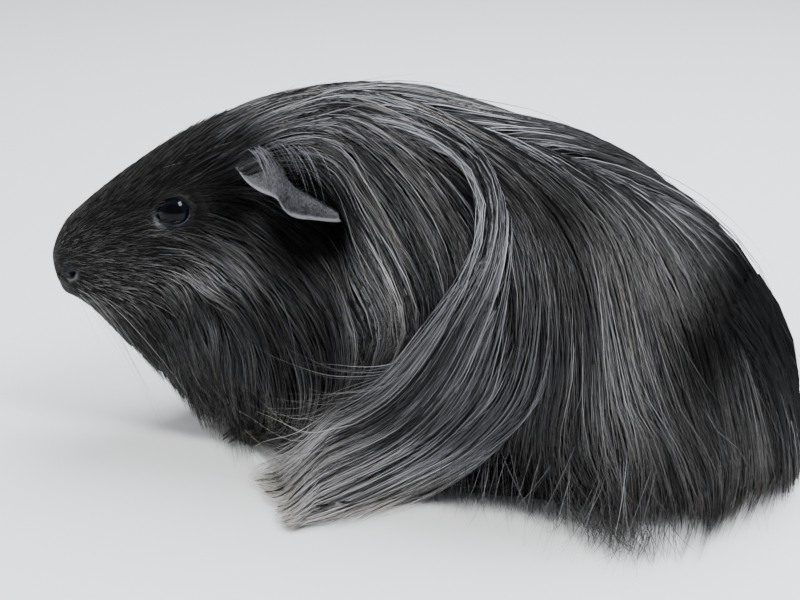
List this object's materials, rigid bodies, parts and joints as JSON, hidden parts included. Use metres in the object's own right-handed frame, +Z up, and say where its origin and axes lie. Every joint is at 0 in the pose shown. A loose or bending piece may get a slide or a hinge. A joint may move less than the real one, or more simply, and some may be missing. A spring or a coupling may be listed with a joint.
{
  "type": "long-haired guinea pig, still life-size model",
  "caption": "Life-size long-haired black guinea pig at rest on its feet, head turned to its left, coat falling to the floor all round.",
  "frame": {"origin": "on the floor under the middle of the animal's bounding box", "axes": "-X is where the animal goes, head first, +Z is up, and its left side is at -Y"},
  "size_m": [0.2176, 0.1324, 0.1077],
  "materials": {
    "short_coat": "short sleek near-black fur",
    "long_coat": "long silky near-black hair with a grey sheen and grey-brown tips",
    "eye": "wet, dark, clear cornea",
    "ear": "thin grey skin with fine down",
    "foot": "dark bare skin under short fur, dark horn claws"
  },
  "bodies": {
    "root": {"head": "short_coat", "neck": "long_coat", "trunk": "long_coat", "hindquarters": "long_coat", "eye_left": "eye", "eye_right": "eye", "ear_left": "ear", "ear_right": "ear", "foreleg_left": "foot", "foreleg_right": "foot", "hindleg_left": "foot", "hindleg_right": "foot"}
  },
  "joints": []
}
